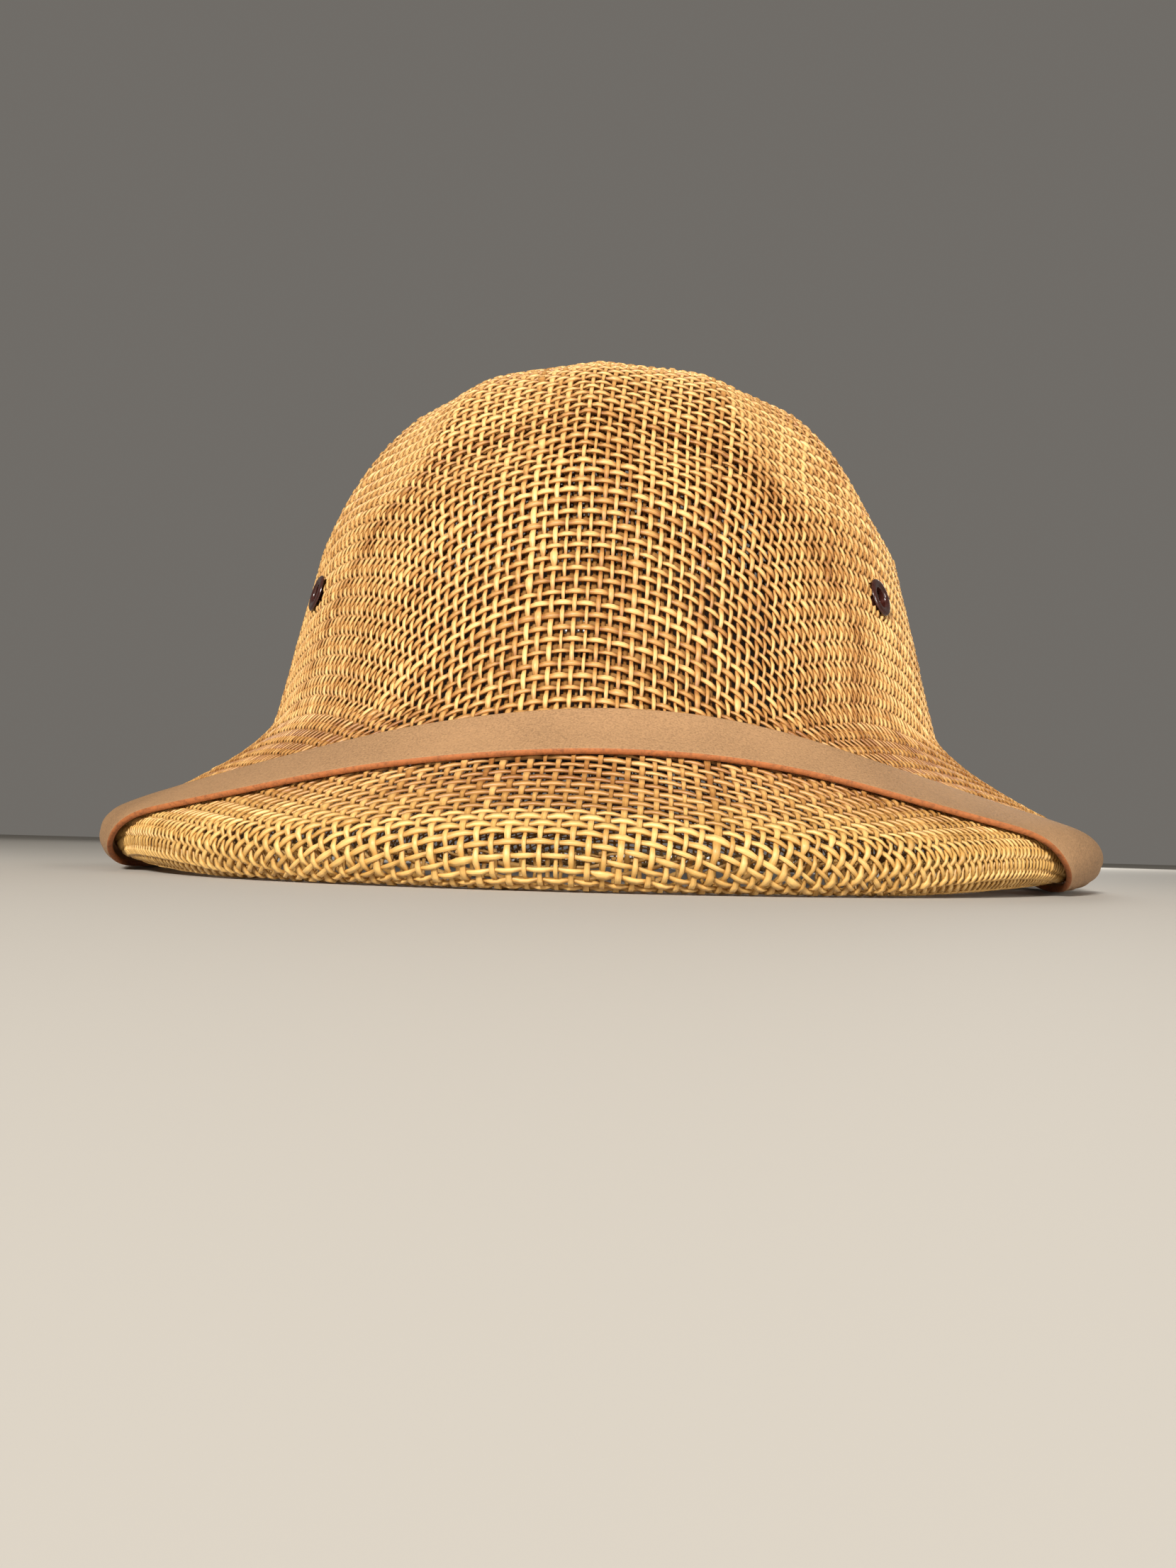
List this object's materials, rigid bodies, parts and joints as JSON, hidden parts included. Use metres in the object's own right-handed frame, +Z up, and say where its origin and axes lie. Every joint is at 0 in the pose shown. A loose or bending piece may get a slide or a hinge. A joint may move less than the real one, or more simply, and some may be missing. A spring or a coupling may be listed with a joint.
{
  "type": "woven straw sun helmet",
  "caption": "Woven straw sun helmet with a ridged dome, a sloping brim with a rolled rim, a leather strap laid over the front of the brim, vent eyelets and an inner sweatband",
  "frame": {"origin": "middle of the oval rim, on the plane that the rim rests on", "axes": "+Z up through the crown, the front of the hat faces -Y, +X is across the hat"},
  "size_m": [0.315, 0.356, 0.1732],
  "materials": {
    "straw": "matte woven straw cord",
    "strap_leather": "matte tan leather with raw orange-brown edges",
    "eyelet_enamel": "gloss dark brown enamel",
    "band_cloth": "matte dark cloth",
    "post_metal": "plain steel"
  },
  "bodies": {
    "root": {"woven_shell": "straw", "chin_strap": "strap_leather", "eyelet_left": "eyelet_enamel", "eyelet_right": "eyelet_enamel", "sweatband": "band_cloth", "post_left": "post_metal", "post_right": "post_metal", "post_front": "post_metal", "post_back": "post_metal"}
  },
  "joints": []
}
